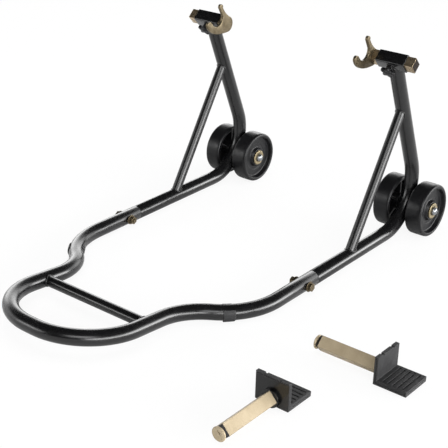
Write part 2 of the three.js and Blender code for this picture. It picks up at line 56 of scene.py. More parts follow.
# Dimensions in millimetres and degrees, as in the CAD source
GAP = 0.3
MAIN_OD, MAIN_ID = 30, 26
BRACE_OD, BRACE_ID = 20.5, 17
SPIGOT_OD, SPIGOT_ID, SPIGOT_LENGTH, SHOULDER = 25.4, 21.4, 60, 4
SEAM_Y, ROOT_Y = -359, -548.5
LOOP_TIP = math.radians(5.6)
LOOP_HALF, LOOP_REAR, LOOP_FRONT, LOOP_BRACE = 130.5, 80.5, 320, 170.5
LOOP_BENDS = (152, 113, 121)
ARM_X, ARM_BEND_Y, KNEE_Y, KNEE_Z = 231.7, -53, 12.5, 82.3
ARM_BENDS = (96, 97)
ARM_LEAN = math.radians(22.9)
BRACE_FOOT_Y, BRACE_HEAD_Z = -235.5, 271
AXLE_Z = 35.5
SOCKET_OFFSET, SOCKET_Y, SOCKET_Z = -1, -116, 377.2
SOCKET_TURN = math.radians(43.3)
SOCKET_OUT, SOCKET_IN, SOCKET_LENGTH = 26.4, 22.4, 63
BOSS_OD = 15
SCREW_START, SCREW_END, SCREW_RADIUS, SCREW_PITCH = 11.1, 28.5, 4, 1.25
KNOB_START, KNOB_END, KNOB_RADIUS, KNOB_LOBE, KNOB_LOBES = 21.5, 31.5, 12.4, 2.4, 5
HOOK_INNER, HOOK_OUTER = 180.5, 186.5
FOOT_Y, FOOT_LENGTH, FOOT_WALL, FOOT_SOLE, FOOT_SOLE_HALF = -573.5, 20.5, 2, 18.6, 6
BAR_SIDE, POST_SIDE = 21.6, 22
COLLAR_FACE = 5.3  # from the plate


# ---- Places --------------------------------------------------------------------------

def centre(node):
    lo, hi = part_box(node)
    return (lo + hi) / 2


def joint_data(name):
    return next(j for j in frame["joints"] if j["name"] == name)


def stand_matrix():
    """The stand's own frame: Y zero at the axles, Z zero on the arms' lower centrelines."""
    axle = (centre("left_axle_bolt") + centre("right_axle_bolt")) / 2
    clamp = joint_data("left_screw_travel")["axis"]
    tilt = math.atan2(-clamp[2], -clamp[1]) - SOCKET_TURN
    down = Matrix.Translation((0, 0, -AXLE_Z * MM))
    return Matrix.Translation(axle) @ Matrix.Rotation(tilt, 4, "X") @ down


STAND = stand_matrix()


def in_stand(x=0, y=0, z=0, turn=0):
    return STAND @ Matrix.Translation(Vector((x, y, z)) * MM) @ Matrix.Rotation(turn, 4, "X")


# ---- Meshes --------------------------------------------------------------------------
# Builders take millimetres and return an object whose mesh is in metres.

def build(name, vertices, faces, matrix=Matrix.Identity(4), sharp=35):
    mesh = bpy.data.meshes.new(name)
    mesh.from_pydata([Vector(v) * MM for v in vertices], [], faces)
    obj = bpy.data.objects.new(name, mesh)
    bpy.context.scene.collection.objects.link(obj)
    obj.matrix_world = matrix
    repair(obj, sharp)
    return obj


def repair(obj, sharp=35):
    work = bmesh.new()
    work.from_mesh(obj.data)
    bmesh.ops.remove_doubles(work, verts=work.verts, dist=0.002 * MM)
    bmesh.ops.dissolve_degenerate(work, dist=0.002 * MM, edges=work.edges)
    bmesh.ops.recalc_face_normals(work, faces=work.faces)
    work.to_mesh(obj.data)
    work.free()
    obj.data.shade_smooth()
    obj.data.set_sharp_from_angle(angle=math.radians(sharp))


def loft(name, layers, closed=False, **options):
    """Joins closed outlines of equal point count in order; a closed loft joins its last to its first."""
    count = len(layers[0])
    rows = len(layers)
    faces = []
    for i in range(rows if closed else rows - 1):
        here, following = i * count, (i + 1) % rows * count
        for j in range(count):
            k = (j + 1) % count
            faces.append((here + j, here + k, following + k, following + j))
    if not closed:
        faces += [tuple(range(count)), tuple((rows - 1) * count + k for k in range(count))]
    return build(name, [v for layer in layers for v in layer], faces, **options)


def sweep(name, stations, sides=40, closed=False, **options):
    """Rings of (middle, tangent, radius), joined in order."""
    before = stations[0][1]
    across = before.orthogonal().normalized()
    layers = []
    for middle, tangent, radius in stations:
        across = before.rotation_difference(tangent) @ across
        before = tangent
        other = tangent.cross(across)
        angles = [2 * math.pi * k / sides for k in range(sides)]
        layers.append([middle + radius * (math.cos(a) * across + math.sin(a) * other) for a in angles])
    return loft(name, layers, closed, **options)


def lathe(name, profile, sides=64, closed=False, **options):
    """Turns (x, radius) points about the X axis."""
    return sweep(name, [(X_AXIS * x, X_AXIS, r) for x, r in profile], sides, closed, **options)


def rounded(points, radius, steps=4, closed=False):
    """The same outline with its corners rounded. A third number is a corner's own radius."""
    out = []
    count = len(points)
    for i, point in enumerate(points):
        here = Vector(point[:2])
        size = point[2] if len(point) > 2 else radius
        if size == 0 or (not closed and i in (0, count - 1)):
            out.append(here)
            continue
        back = Vector(points[i - 1][:2]) - here
        ahead = Vector(points[(i + 1) % count][:2]) - here
        start = here + back.normalized() * min(size, 0.49 * back.length)
        end = here + ahead.normalized() * min(size, 0.49 * ahead.length)
        for k in range(steps + 1):
            t = k / steps
            out.append(start * (1 - t) ** 2 + here * 2 * t * (1 - t) + end * t ** 2)
    return out


def arc(middle, radius, start, end, count):
    """Points round an arc; angles in degrees."""
    points = []
    for i in range(count + 1):
        angle = math.radians(start + (end - start) * i / count)
        points.append((middle[0] + radius * math.cos(angle), middle[1] + radius * math.sin(angle)))
    return points


def curve(start, toward, end, count):
    points = []
    for i in range(1, count):
        t = i / count
        points.append(tuple(a * (1 - t) ** 2 + b * 2 * t * (1 - t) + c * t ** 2
                            for a, b, c in zip(start, toward, end)))
    return points


def inset(outline, amount):
    """An outline drawn anticlockwise, moved inward."""
    count = len(outline)
    moved = []
    for i, point in enumerate(outline):
        along = (Vector(outline[(i + 1) % count]) - Vector(outline[i - 1])).normalized()
        moved.append(Vector(point) + amount * Vector((-along.y, along.x)))
    return moved


def eased_layers(outline, start, end, edge):
    """Layers of an extrusion along X whose end edges are rounded by edge."""
    ease = ((0, 1), (0.1, 0.55), (0.4, 0.12), (1, 0))
    near = [(start + depth * edge, inset(outline, share * edge)) for depth, share in ease]
    far = [(end - depth * edge, inset(outline, share * edge)) for depth, share in reversed(ease)]
    return [[Vector((x, *p)) for p in layer] for x, layer in near + far]


def prism(name, outline, start, end, edge, **options):
    """An outline drawn in Y and Z, extruded along X."""
    return loft(name, eased_layers(outline, start, end, edge), **options)


def combine(obj, tool, operation):
    """Joins or cuts obj with tool, and removes the tool."""
    modifier = obj.modifiers.new("work", "BOOLEAN")
    modifier.operation = operation
    modifier.solver = "MANIFOLD"
    modifier.object = tool
    bpy.context.view_layer.update()
    evaluated = obj.evaluated_get(bpy.context.evaluated_depsgraph_get())
    mesh = bpy.data.meshes.new_from_object(evaluated)
    obj.modifiers.clear()
    obj.data = mesh
    bpy.data.objects.remove(tool)
    repair(obj)


# ---- Materials -----------------------------------------------------------------------

class Surface:
    """A procedural material: mottled colour, uneven roughness and layers of bump."""

    def __init__(self, name):
        self.material = bpy.data.materials.new(name)
        self.material.use_nodes = True
        self.tree = self.material.node_tree
        self.shader = self.tree.nodes["Principled BSDF"]
        self.coordinates = self.add("ShaderNodeTexCoord").outputs["Object"]
        self.normal = None

    def add(self, kind, inputs=None, **settings):
        node = self.tree.nodes.new(kind)
        for key, value in settings.items():
            setattr(node, key, value)
        for key, value in (inputs or {}).items():
            if isinstance(value, bpy.types.NodeSocket):
                self.tree.links.new(value, node.inputs[key])
            else:
                node.inputs[key].default_value = value
        return node

    def stretched(self, stretch):
        if stretch is None:
            return self.coordinates
        return self.add("ShaderNodeMapping", {"Vector": self.coordinates, "Scale": stretch}).outputs[0]

    def noise(self, scale, detail=3.0, stretch=None, rough=0.55):
        inputs = {"Vector": self.stretched(stretch), "Scale": scale, "Detail": detail, "Roughness": rough}
        return self.add("ShaderNodeTexNoise", inputs).outputs["Fac"]

    def spread(self, value, low, high, start=0.35, end=0.65):
        inputs = {"Value": value, "From Min": start, "From Max": end, "To Min": low, "To Max": high}
        return self.add("ShaderNodeMapRange", inputs).outputs["Result"]

    def times(self, first, second):
        return self.add("ShaderNodeMath", {0: first, 1: second}, operation="MULTIPLY").outputs[0]

    def plus(self, first, second):
        return self.add("ShaderNodeMath", {0: first, 1: second}, operation="ADD").outputs[0]

    def blend(self, amount, first, second):
        inputs = {0: amount, 6: first, 7: second}
        return self.add("ShaderNodeMix", inputs, data_type="RGBA").outputs[2]

    def link(self, name, value):
        if isinstance(value, bpy.types.NodeSocket):
            self.tree.links.new(value, self.shader.inputs[name])
        else:
            self.shader.inputs[name].default_value = value

    def bump(self, height, strength, distance):
        inputs = {"Height": height, "Strength": strength, "Distance": distance * MM}
        if self.normal is not None:
            inputs["Normal"] = self.normal
        self.normal = self.add("ShaderNodeBump", inputs).outputs["Normal"]
        self.link("Normal", self.normal)

    def edges(self, radius):
        """1 along edges sharper than the radius in millimetres, broken up by noise, 0 elsewhere."""
        soft = self.add("ShaderNodeBevel", {"Radius": radius * MM}, samples=6).outputs["Normal"]
        true = self.add("ShaderNodeNewGeometry").outputs["Normal"]
        same = self.add("ShaderNodeVectorMath", {0: soft, 1: true}, operation="DOT_PRODUCT")
        edge_mask = self.spread(same.outputs["Value"], 1.0, 0.0, 0.90, 0.995)
        return self.times(edge_mask, self.spread(self.noise(420, 4), 0.35, 1.0))

    def facing(self, direction, start=0.2, end=0.95):
        """How far the surface faces a direction, from 0 to 1."""
        true = self.add("ShaderNodeNewGeometry").outputs["Normal"]
        turned = self.add("ShaderNodeVectorMath", {0: true, 1: direction}, operation="DOT_PRODUCT")
        return self.spread(turned.outputs["Value"], 0.0, 1.0, start, end)


def rgba(red, green, blue):
    return (red, green, blue, 1.0)


def black_paint():
    s = Surface("black_paint")
    tone = s.blend(s.spread(s.noise(22, 4), 0, 1), rgba(0.0028, 0.0028, 0.003), rgba(0.005, 0.005, 0.0055))
    dust = s.times(s.facing((0, 0, 1)), s.spread(s.noise(120, 6, rough=0.7), 0, 0.10, 0.5, 0.8))
    tone = s.blend(dust, tone, rgba(0.03, 0.03, 0.029))
    s.link("Base Color", s.blend(s.times(s.edges(1.1), 0.25), tone, rgba(0.05, 0.05, 0.052)))
    s.link("Roughness", s.plus(s.spread(s.noise(60, 5), 0.22, 0.27), s.times(dust, 0.4)))
    s.link("Coat Weight", 0.12)
    s.link("Coat Roughness", s.spread(s.noise(240, 2), 0.16, 0.24))
    s.bump(s.noise(480, 2), 0.025, 0.1)
    s.bump(s.noise(45, 2), 0.02, 0.5)
    return s.material


def gold_zinc(name, light, dark, roughness, painted_end_shade=None):
    s = Surface(name)
    tone = s.blend(s.spread(s.noise(60, 6, rough=0.65), 0, 1, 0.38, 0.62), light, dark)
    speckle = s.spread(s.noise(900, 2), 0, 0.35, 0.5, 0.7)
    tone = s.blend(speckle, tone, tuple(0.72 * c for c in dark[:3]) + (1.0,))
    # Painted shade: faces across the X axis, the bar's ends, take a dark brown that stands for the shade inside an
    # open tube end.
    if painted_end_shade:
        across = s.add("ShaderNodeVectorMath", {0: s.add("ShaderNodeNewGeometry").outputs["Normal"]},
                       operation="ABSOLUTE").outputs["Vector"]
        ends = s.add("ShaderNodeVectorMath", {0: across, 1: (1, 0, 0)}, operation="DOT_PRODUCT")
        tone = s.blend(s.spread(ends.outputs["Value"], 0, 1, 0.85, 0.97), tone, painted_end_shade)
    rubbed = tuple(min(1, 1.5 * c) for c in light[:3]) + (1.0,)
    s.link("Base Color", s.blend(s.times(s.edges(0.9), 0.55), tone, rubbed))
    s.link("Metallic", 0.92)
    s.link("Roughness", s.spread(s.noise(130, 5), roughness - 0.06, roughness + 0.08))
    s.bump(s.noise(500, 3), 0.12, 0.2)
    s.bump(s.noise(90, 2), 0.05, 0.5)
    return s.material


def pale_zinc():
    """Brushed and plated: satin, with fine streaks along the X axis of the piece, and painted shade darkening its
    edges.
    """
    s = Surface("pale_zinc")
    tone = s.blend(s.spread(s.noise(35, 5), 0, 1), rgba(0.45, 0.37, 0.25), rgba(0.37, 0.30, 0.195))
    streaks = s.noise(1, 4, stretch=(900, 900, 60), rough=0.7)
    tone = s.blend(s.spread(streaks, 0, 0.3), tone, rgba(0.26, 0.205, 0.13))
    # Painted shade: the edges are blended toward dark brown, standing for the shade on the post's rounded edges.
    s.link("Base Color", s.blend(s.times(s.edges(1.6), 0.8), tone, rgba(0.10, 0.078, 0.048)))
    s.link("Metallic", 0.12)
    s.link("Specular IOR Level", 0.35)
    s.link("Roughness", s.spread(streaks, 0.38, 0.50))
    s.bump(streaks, 0.10, 0.10)
    return s.material


def bright_steel():
    s = Surface("bright_steel")
    tone = s.blend(s.spread(s.noise(110, 4), 0, 1), rgba(0.34, 0.35, 0.36), rgba(0.26, 0.27, 0.28))
    s.link("Base Color", tone)
    s.link("Metallic", 1.0)
    s.link("Roughness", s.spread(s.noise(300, 4), 0.28, 0.40))
    s.bump(s.noise(700, 3), 0.08, 0.1)
    return s.material


def moulded(name, dark, light, roughness, grain, edge=0.5, edge_tone=0.09, shine=0.5):
    """Moulded plastic or rubber: fine grain, a little dust, edges lighter."""
    s = Surface(name)
    tone = s.blend(s.spread(s.noise(30, 5), 0, 1), rgba(*dark), rgba(*light))
    dust = s.spread(s.noise(260, 6, rough=0.7), 0, 0.15, 0.5, 0.8)
    tone = s.blend(s.times(dust, s.facing((0, 0, 1), -0.2)), tone, rgba(0.05, 0.049, 0.047))
    edge_mask = s.times(s.edges(1.3), edge)
    s.link("Base Color", s.blend(edge_mask, tone, rgba(edge_tone, edge_tone, edge_tone)))
    s.link("Roughness", s.spread(s.noise(85, 5), roughness - 0.06, roughness + 0.06))
    s.link("Specular IOR Level", shine)
    s.bump(s.noise(grain, 2), 0.22, 0.12)
    s.bump(s.noise(55, 3), 0.05, 0.6)
    return s.material


BLACK = (0.004, 0.004, 0.0045)
OFF_BLACK = (0.006, 0.006, 0.007)
DARK_GREY, MID_GREY = (0.014, 0.014, 0.015), (0.022, 0.022, 0.023)
# Painted shade for the bar ends, standing for the shade inside an open tube end
BAR_END_PAINTED_SHADE = rgba(0.022, 0.013, 0.008)
FINISHES = {
    "black_paint": black_paint(),
    "gold_zinc": gold_zinc("gold_zinc", rgba(0.170, 0.138, 0.088), rgba(0.115, 0.090, 0.053), 0.44),
    "pale_zinc": pale_zinc(),
    "bright_steel": bright_steel(),
    "wheel_plastic": moulded("wheel_plastic", BLACK, OFF_BLACK, 0.34, 900, shine=0.3),
    "knob_plastic": moulded("knob_plastic", BLACK, OFF_BLACK, 0.40, 1100, shine=0.3),
    "rubber": moulded("rubber", DARK_GREY, MID_GREY, 0.6, 1300, 0.7, 0.1, shine=0.35),
}
BAR_FINISH = gold_zinc("gold_bar", rgba(0.50, 0.40, 0.27), rgba(0.40, 0.31, 0.20), 0.30, BAR_END_PAINTED_SHADE)
RING_FINISH = gold_zinc("gold_ring", rgba(0.36, 0.30, 0.19), rgba(0.28, 0.225, 0.13), 0.38)
SLOT_OF = {part["node"]: part["material_slot"] for part in frame["record"]["subparts"]}
BODY_OF = {node: body for body, nodes in frame["record"]["behaviour"]["bodies"].items() for node in nodes}


def dress(obj, material):
    obj.data.materials.clear()
    obj.data.materials.append(material)


def finish_piece(obj, node, replaced=True):
    """Gives a new piece the finish and the body of a CAD node, which it may stand for."""
    dress(obj, FINISHES[SLOT_OF[node]])
    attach(obj, BODY_OF[node])
    if replaced:
        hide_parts(node)
    return obj


# ---- Tubes ---------------------------------------------------------------------------

def bent_line(corners, bends, step=3):
    """(point, tangent) along straight runs whose corners are rounded by arcs."""
    corners = [Vector(c) for c in corners]
    line = [(corners[0], (corners[1] - corners[0]).normalized())]
    for before, corner, after, radius in zip(corners, corners[1:], corners[2:], bends):
        incoming, outgoing = (corner - before).normalized(), (after - corner).normalized()
        angle = incoming.angle(outgoing)
        axis = incoming.cross(outgoing).normalized()
        inward = axis.cross(incoming)
        middle = corner - incoming * radius * math.tan(angle / 2) + inward * radius
        count = math.ceil(math.degrees(angle) / step)
        for i in range(count + 1):
            turn = Quaternion(axis, angle * i / count)
            line.append((middle - turn @ inward * radius, turn @ incoming))
    line.append((corners[-1], (corners[-1] - corners[-2]).normalized()))
    return line


def tube_stations(line, od, bore, ease=0.8):
    """Out along the outside and back along the bore, with eased outer edges."""
    (first, start), (last, end) = line[0], line[-1]
    inside = [(point, tangent, bore / 2) for point, tangent in reversed(line)]
    return [
        (first, start, od / 2 - ease), (first + start * 0.3 * ease, start, od / 2 - 0.3 * ease),
        (first + start * ease, start, od / 2),
        *[(point, tangent, od / 2) for point, tangent in line[1:-1]],
        (last - end * ease, end, od / 2), (last - end * 0.3 * ease, end, od / 2 - 0.3 * ease),
        (last, end, od / 2 - ease), *inside,
    ]


def on_loop(x, distance):
    return Vector((x, ROOT_Y - distance * math.cos(LOOP_TIP), distance * math.sin(LOOP_TIP)))


def on_upright(z):
    return Vector((0, KNEE_Y - (z - KNEE_Z) * math.tan(ARM_LEAN), z))


UPRIGHT = (on_upright(1) - on_upright(0)).normalized()


def handle_line():
    def half(sign):
        return [Vector((sign * ARM_X, SEAM_Y, 0)), Vector((sign * ARM_X, ROOT_Y, 0)),
                on_loop(sign * LOOP_HALF, LOOP_REAR), on_loop(sign * LOOP_HALF, LOOP_FRONT)]
    return bent_line(half(1) + half(-1)[::-1], LOOP_BENDS + LOOP_BENDS[::-1])


def meeting_distance(start, direction, point, axis, radius):
    """How far from start along direction a cylinder about an axis is first met, or None."""
    offset = start - point
    along, across = direction - axis * direction.dot(axis), offset - axis * offset.dot(axis)
    a, b, c = along.dot(along), 2 * along.dot(across), across.dot(across) - radius ** 2
    inside = b * b - 4 * a * c
    return (-b - math.sqrt(inside)) / (2 * a) if inside >= 0 else None


def fitted_tube(name, start, direction, ends, sides=40, matrix=STAND):
    """A straight brace whose two mouths fit the round tubes they meet. An end is (point, axis)."""
    across = direction.orthogonal().normalized()
    other = direction.cross(across)
    rings = []
    for radius in (BRACE_OD / 2, BRACE_ID / 2):
        offsets = [radius * (math.cos(a) * across + math.sin(a) * other)
                   for a in (2 * math.pi * k / sides for k in range(sides))]
        for sign, (point, axis) in zip((-1, 1), ends):
            ring = []
            for offset in offsets:
                origin = start + offset
                distance = meeting_distance(origin, direction * sign, point, axis, MAIN_OD / 2 + 0.1)
                ring.append(origin + direction * sign * distance)
            rings.append(ring)
    outer_foot, outer_head, inner_foot, inner_head = rings
    return loft(name, [outer_foot, outer_head, inner_head, inner_foot], closed=True, matrix=matrix)


def bead(name, path, outward, node, matrix=STAND, radius=1.4, ripple=2.6):
    """A weld bead along a closed path, with the ripples of its passes."""
    count = len(path)
    layers = []
    travelled = 0.0
    length = sum((path[i] - path[i - 1]).length for i in range(count))
    waves = max(6, round(length / ripple))
    for i, point in enumerate(path):
        tangent = (path[(i + 1) % count] - path[i - 1]).normalized()
        side = (outward[i] - tangent * outward[i].dot(tangent)).normalized()
        other = tangent.cross(side)
        swell = radius * (0.88 + 0.16 * abs(math.sin(math.pi * waves * travelled / length)))
        layers.append([point + swell * (math.cos(a) * side + math.sin(a) * other)
                       for a in (2 * math.pi * k / 10 for k in range(10))])
        travelled += (path[(i + 1) % count] - point).length
    weld = loft(name, layers, closed=True, matrix=matrix, sharp=60)
    return finish_piece(weld, node, replaced=False)


def brace_bead(name, start, direction, point, axis, node, matrix):
    """The weld where a brace that leaves start along direction meets a round tube."""
    across = direction.orthogonal().normalized()
    other = direction.cross(across)
    path, outward = [], []
    count = 144
    for k in range(count):
        angle = 2 * math.pi * k / count
        spoke = math.cos(angle) * across + math.sin(angle) * other
        origin = start + spoke * (BRACE_OD / 2 + 0.5)
        distance = meeting_distance(origin, direction, point, axis, MAIN_OD / 2 + 0.5)
        path.append(origin + direction * distance)
        outward.append(spoke)
    return bead(name, path, outward, node, matrix)


def make_handle():
    tube = sweep("handle_tube", tube_stations(handle_line(), MAIN_OD, MAIN_ID), closed=True, matrix=STAND)
    finish_piece(tube, "handle_loop")
    ends = [(on_loop(sign * LOOP_HALF, LOOP_BRACE), on_loop(0, 1) - on_loop(0, 0)) for sign in (-1, 1)]
    middle = on_loop(0, LOOP_BRACE)
    brace = fitted_tube("handle_crossbar", middle, X_AXIS, ends)
    finish_piece(brace, "handle_brace")
    for (side, sign), (point, axis) in zip(SIDES, ends):
        brace_bead(f"{side}_crossbar_weld", middle, X_AXIS * sign, point, axis, "handle_loop", STAND)


def arm_stations():
    front, bend, knee = (0, SEAM_Y + GAP, 0), (0, ARM_BEND_Y, 0), (0, KNEE_Y, KNEE_Z)
    line = bent_line([front, bend, knee, on_upright(SOCKET_Z)], ARM_BENDS)
    outside = tube_stations(line, MAIN_OD, MAIN_ID)
    forward = outside[:len(line) + 4]
    back = [(point, tangent, MAIN_ID / 2) for point, tangent in reversed(line[1:])]
    tip = SEAM_Y - SPIGOT_LENGTH

    def ring(y, radius):
        return (Vector((0, y, 0)), Y_AXIS, radius)
    outer, inner, step = SPIGOT_OD / 2, SPIGOT_ID / 2, SEAM_Y + SHOULDER
    spigot = [ring(tip, outer - 1), ring(tip + 1.5, outer), ring(SEAM_Y + GAP, outer)]
    bore = [ring(step, MAIN_ID / 2), ring(step, inner), ring(tip, inner)]
    return spigot + forward + back + bore


def square(side, radius, steps=5):
    half = side / 2
    return rounded([(-half, -half), (half, -half), (half, half), (-half, half)], radius, steps, closed=True)


def socket_bead(side, sign):
    """The weld round the top of an upright, on the flat sides of the square socket."""
    turn = Matrix.Rotation(-SOCKET_TURN, 4, "X")
    direction = turn.to_3x3() @ UPRIGHT
    start = turn @ (on_upright(SOCKET_Z - 60) - Vector((0, SOCKET_Y, SOCKET_Z)))
    across = X_AXIS
    other = direction.cross(across)
    half = SOCKET_OUT / 2 + 0.4
    path, outward = [], []
    count = 160
    for k in range(count):
        angle = 2 * math.pi * k / count
        spoke = math.cos(angle) * across + math.sin(angle) * other
        origin = start + spoke * (MAIN_OD / 2 + 0.4)
        reaches = []
        for axis in (1, 2):
            distance = (-math.copysign(half, direction[axis]) - origin[axis]) / direction[axis]
            reaches.append(distance)
        path.append(origin + direction * max(reaches))
        outward.append(spoke)
    matrix = in_stand(sign * ARM_X, SOCKET_Y, SOCKET_Z, SOCKET_TURN)
    return bead(f"{side}_socket_weld", path, outward, f"{side}_arm", matrix, radius=1.6)


def make_arm(side, sign):
    matrix = in_stand(sign * ARM_X)
    arm = sweep(f"{side}_arm_tube", arm_stations(), closed=True, matrix=matrix)
    seat = square(SOCKET_OUT + 0.2, 3)
    tool = prism("tool", seat, -40, 40, 0.5, matrix=in_stand(sign * ARM_X, SOCKET_Y, SOCKET_Z, SOCKET_TURN))
    combine(arm, tool, "DIFFERENCE")
    finish_piece(arm, f"{side}_arm")
    foot, head = Vector((0, BRACE_FOOT_Y, 0)), on_upright(BRACE_HEAD_Z)
    direction = (head - foot).normalized()
    ends = [(foot, Y_AXIS), (head, UPRIGHT)]
    brace = fitted_tube(f"{side}_brace_tube", (foot + head) / 2, direction, ends, matrix=matrix)
    finish_piece(brace, f"{side}_arm_brace")
    for label, sense, (point, axis) in zip(("foot", "head"), (-1, 1), ends):
        brace_bead(f"{side}_brace_{label}_weld", (foot + head) / 2, direction * sense, point, axis,
                   f"{side}_arm", matrix)
    socket_bead(side, sign)


# ---- Wheels --------------------------------------------------------------------------
# Built about the X axis with the outer face toward +X.

WHEEL_PROFILE = [
    (-17.8, 10.5, 0), (-17.8, 19, 0.8), (3, 19, 2), (3, 46, 3), (-15, 48.2, 2),
    (-18.8, 49.0, 1.4), (-18.8, 54.2, 2.2), (-15.8, 56.7, 2.0), (-10, 57, 3),
    (10, 57, 3), (15.8, 56.7, 2.0),
    (18.8, 54.2, 2.2), (18.8, 49.0, 1.8), (15.4, 48.0, 1.5), (8.5, 46.2, 2.5),
    (8.5, 31, 0.4), (7.9, 30.4, 0.4), (7.9, 22.5, 2), (14.8, 19, 0.8), (14.8, 10.5, 0),
]
BUSH_PROFILE = [
    (-16.8, 6.3, 0), (-16.8, 10.2, 0.4), (15.1, 10.2, 0), (15.1, 16.75, 0.5), (18.1, 16.75, 0.9),
    (18.1, 9.7, 0.5), (13.6, 9.7, 0.3), (13.6, 6.3, 0),
]
CAP_PROFILE = [
    (21.1, 0, 0), (21.1, 6.3, 0), (13.9, 6.3, 0), (13.9, 8.8, 0.3), (21.4, 8.8, 0.5), (21.8, 8.3, 0.4),
    (24.8, 6.6, 2.4), (26.2, 3.4, 2.0), (26.3, 0, 0),
]


def wheel_mesh():
    wheel = lathe("wheel", rounded(WHEEL_PROFILE, 1, closed=True), 96, closed=True)
    ribs = []
    section = rounded([(-2.5, 17.5), (2.5, 17.5), (2.1, 49), (-2.1, 49)], 0.5, closed=True)
    rib = eased_layers(section, -14.4, 4, 0.8)
    for k in range(6):
        turn = Matrix.Rotation(math.radians(60 * k), 4, "X")
        piece = loft(f"rib{k}", [[turn @ v for v in layer] for layer in rib])
        ribs.append(piece)
    for piece in ribs:
        combine(wheel, piece, "UNION")
    mesh = wheel.data
    bpy.data.objects.remove(wheel)
    return mesh


def make_wheel(side, place, facing, mesh):
    node = f"{side}_{place}_wheel"
    half_turn = Matrix.Rotation(0 if facing > 0 else math.pi, 4, "Z")
    matrix = Matrix.Translation(centre(node)) @ half_turn
    tyre = bpy.data.objects.new(f"{node}_moulding", mesh.copy())
    bpy.context.scene.collection.objects.link(tyre)
    tyre.matrix_world = matrix
    finish_piece(tyre, node)
    bush = lathe(f"{node}_bush_ring", rounded(BUSH_PROFILE, 0.4, closed=True), closed=True, matrix=matrix)
    finish_piece(bush, f"{node}_bush")
    dress(bush, RING_FINISH)
    cap = lathe(f"{side}_{place}_cap_nut", rounded(CAP_PROFILE, 0.4), 48, matrix=matrix)
    finish_piece(cap, f"{side}_{place}_axle_cap")


# ---- Hooks ---------------------------------------------------------------------------

def hook_outline():
    """Round the mouth, over the upper tip, down the back, round the heel, along the belly."""
    mouth, upper, lower, heel = (-37, 18), (-23.8, 40.3), (-62, 7.5), (-2, -1)
    upper_arc = arc(upper, 5.5, 205, -25, 26)
    heel_arc = arc(heel, 17, 70, -90, 24)
    lower_arc = arc(lower, 7.2, 204, 44, 26)
    mouth_arc = arc(mouth, 18.3, 225, 368, 34)
    back = curve(upper_arc[-1], (-11, 24.5), heel_arc[0], 10)
    belly = curve(heel_arc[-1], (-57, -21), lower_arc[0], 14)
    outline = mouth_arc + upper_arc + back + heel_arc + belly + lower_arc
    return [Vector(p) for p in outline[::-1]]


def make_hook(side, sign):
    socket_matrix = in_stand(sign * (ARM_X + SOCKET_OFFSET), SOCKET_Y, SOCKET_Z, SOCKET_TURN)
    half = SOCKET_LENGTH / 2
    outside = eased_layers(square(SOCKET_OUT, 3), -half, half, 0.7)
    bore = [[Vector((x, *p)) for p in square(SOCKET_IN, 1)] for x in (half, -half)]
    socket = loft(f"{side}_socket_tube", outside + bore, closed=True, matrix=socket_matrix)
    finish_piece(socket, f"{side}_hook_socket")

    outline = hook_outline()
    faces = sorted((sign * HOOK_INNER, sign * HOOK_OUTER))
    hook = prism(f"{side}_hook_plate", outline, *faces, 0.9, matrix=in_stand(0, SOCKET_Y, SOCKET_Z))
    finish_piece(hook, f"{side}_hook")
    turned = in_stand(0, SOCKET_Y, SOCKET_Z, SOCKET_TURN)
    square_bead(f"{side}_bar_weld", BAR_SIDE, sign * (HOOK_OUTER - 0.25), f"{side}_hook", turned, 0.8)

    clamp = socket_matrix @ Matrix.Rotation(-math.pi / 2, 4, "Z")
    make_screw(side, clamp)
    make_knob(side, clamp)
    count = 72
    around = arc((0, 0), BOSS_OD / 2 + 0.5, 0, 360, count)[:-1]
    circle = [Vector((SOCKET_OUT / 2 + 0.5, *p)) for p in around]
    spokes = [Vector((0, p.y, p.z)).normalized() for p in circle]
    bead(f"{side}_boss_weld", circle, spokes, f"{side}_clamp_boss", clamp, radius=1.1)


def square_bead(name, side, x, node, matrix, radius=1.0):
    """A bead round a square bar that runs along X."""
    corners = square(side + 1.2, 2.5, 6)
    path = []
    for i, point in enumerate(corners):
        following = corners[(i + 1) % len(corners)]
        steps = max(1, round((following - point).length / 0.7))
        path += [point.lerp(following, k / steps) for k in range(steps)]
    points = [Vector((x, p.x, p.y)) for p in path]
    spokes = [Vector((0, p.x, p.y)).normalized() for p in path]
    bead(name, points, spokes, node, matrix, radius=radius)


def make_screw(side, matrix):
    layers = []
    sides, steps = 24, 8
    rows = round((SCREW_END - SCREW_START) / SCREW_PITCH * steps)
    for i in range(rows + 1):
        x = SCREW_START + (SCREW_END - SCREW_START) * i / rows
        ring = []
        for k in range(sides):
            phase = (x / SCREW_PITCH - k / sides) % 1
            radius = SCREW_RADIUS - 0.6 * abs(2 * phase - 1)
            angle = 2 * math.pi * k / sides
            ring.append(Vector((x, radius * math.cos(angle), radius * math.sin(angle))))
        layers.append(ring)
    screw = loft(f"{side}_clamp_thread", layers, matrix=matrix, sharp=60)
    finish_piece(screw, f"{side}_clamp_screw")


def make_knob(side, matrix):
    count = 120

    def ring(x, reduction, radius=None):
        points = []
        for k in range(count):
            angle = 2 * math.pi * k / count
            lobed = KNOB_RADIUS + KNOB_LOBE * math.cos(KNOB_LOBES * angle) - reduction
            size = lobed if radius is None else radius
            points.append(Vector((x, size * math.cos(angle), size * math.sin(angle))))
        return points
    top = KNOB_END - 0.8
    layers = [
        ring(SCREW_END + GAP, 0, 4.3), ring(KNOB_START, 0, 4.3), ring(KNOB_START, 0, 6.5),
        ring(KNOB_START + 1.2, 0, 7), ring(KNOB_START + 1.2, 2.4), ring(KNOB_START + 1.6, 1.2),
        ring(KNOB_START + 2.6, 0.3), ring(KNOB_START + 3.4, 0), ring(KNOB_END - 3.5, 0),
        ring(KNOB_END - 2.3, 0.4), ring(KNOB_END - 1.4, 1.3), ring(KNOB_END - 0.9, 2.8), ring(top, 4.6),
        ring(top, 0, 6.2), ring(KNOB_END - 0.3, 0, 5.8), ring(KNOB_END, 0, 5.0),
    ]
    knob = loft(f"{side}_clamp_handwheel", layers, matrix=matrix, sharp=50)
    finish_piece(knob, f"{side}_clamp_knob")


# ---- Feet ----------------------------------------------------------------------------

